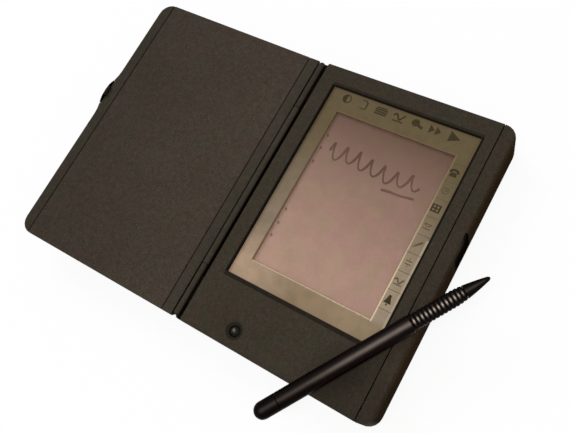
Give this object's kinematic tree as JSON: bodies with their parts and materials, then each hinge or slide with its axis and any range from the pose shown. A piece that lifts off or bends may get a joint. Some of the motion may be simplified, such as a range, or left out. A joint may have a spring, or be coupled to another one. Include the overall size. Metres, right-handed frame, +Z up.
{
  "type": "handheld electronic organizer with a hinged lid",
  "caption": "Pen-operated pocket organizer, open like a book: thick screen half, thin hinged lid with a spring latch, battery door, card slot, and a loose pen lying across one corner.",
  "frame": {"origin": "on the flat underside that the screen half rests on, midway along it and under the middle of the deck between the hinge groove and the outer side", "axes": "+X from the hinge across the screen half, away from the lid; +Y to the top of the screen; +Z up"},
  "size_m": [0.2429, 0.1802, 0.0296],
  "materials": {
    "casing": "fine moulded grain, dark warm grey",
    "lid_face": "fine moulded grain, dark warm grey",
    "black_plastic": "satin black",
    "gloss_black": "polished black",
    "overlay": "printed film, olive grey",
    "screen_glass": "anti-glare coated",
    "lcd": "reflective LCD, pinkish brown",
    "steel": "plated sheet and wire",
    "nickel": "nickel plated",
    "board": "solder mask over laminate",
    "chip": "moulded epoxy",
    "ribbon": "polyimide film",
    "brass": "plain",
    "cell": "printed film over the can; aluminium stands in for its mean density",
    "ivory_plastic": "plain"
  },
  "bodies": {
    "body": {"bottom_case": "casing", "top_case": "casing", "side_rail": "casing", "screen_overlay": "overlay", "touch_panel": "screen_glass", "lcd_glass": "lcd", "lcd_frame": "steel", "lcd_ribbon": "ribbon", "main_board": "board", "processor_chip": "chip", "rom_chip": "chip", "ram_chip_1": "chip", "ram_chip_2": "chip", "interface_chip": "chip", "quartz_crystal": "nickel", "card_cage": "steel", "card_connector": "ivory_plastic", "serial_port": "black_plastic", "sounder_disc": "brass", "battery_cell_1": "cell", "battery_cell_2": "cell", "battery_cell_3": "cell", "contact_plate_1": "nickel", "contact_plate_2": "nickel", "contact_plate_3": "nickel", "contact_plate_4": "nickel", "contact_spring_1": "steel", "contact_spring_2": "steel", "power_switch": "black_plastic", "switch_board": "board", "backup_cell_holder": "ivory_plastic", "backup_cell": "nickel", "case_screw_1": "steel", "case_screw_2": "steel", "case_screw_3": "steel", "case_screw_4": "steel", "hinge_knuckle_upper": "casing", "hinge_knuckle_lower": "casing"},
    "door": {"battery_door": "casing"},
    "button": {"power_button": "gloss_black"},
    "eject_slider": {"card_eject_button": "black_plastic"},
    "lid": {"lid_shell": "casing", "lid_panel": "lid_face", "lid_edge_strip": "casing", "lid_hinge_strip": "casing", "hinge_pin_upper": "steel", "hinge_pin_lower": "steel"},
    "latch_slider": {"latch": "black_plastic", "latch_spring_1": "steel", "latch_spring_2": "steel"},
    "pen": {"pen_end_cap": "gloss_black", "pen_barrel": "gloss_black", "pen_grip": "black_plastic", "pen_tip": "gloss_black"}
  },
  "joints": [
    {"name": "lid_hinge", "type": "hinge", "parent": "body", "child": "lid", "pos_m": [-0.0571, 0, 0.0198], "axis": [0, 1, 0], "range_deg": [0, 176.6]},
    {"name": "latch_slide", "type": "slide", "parent": "lid", "child": "latch_slider", "axis": [-0.9982, 0, 0.0593], "range_m": [0, 0.0012], "stiffness_N_per_m": 800},
    {"name": "power_button_press", "type": "slide", "parent": "body", "child": "button", "axis": [0, 0, -1], "range_m": [0, 0.0008], "stiffness_N_per_m": 600},
    {"name": "battery_door_slide", "type": "slide", "parent": "body", "child": "door", "axis": [0, -1, 0], "range_m": [0, 0.0024]},
    {"name": "card_eject_slide", "type": "slide", "parent": "body", "child": "eject_slider", "axis": [0, 1, 0], "range_m": [0, 0.005]},
    {"name": "pen_slide", "type": "slide", "parent": "body", "child": "pen", "axis": [0.8443, -0.5358, 0], "range_m": [0, 0.04]}
  ],
  "couplings": [
    {"joint": "pen_slide", "follows": "lid_hinge", "m_per_rad": 0.01297}
  ]
}
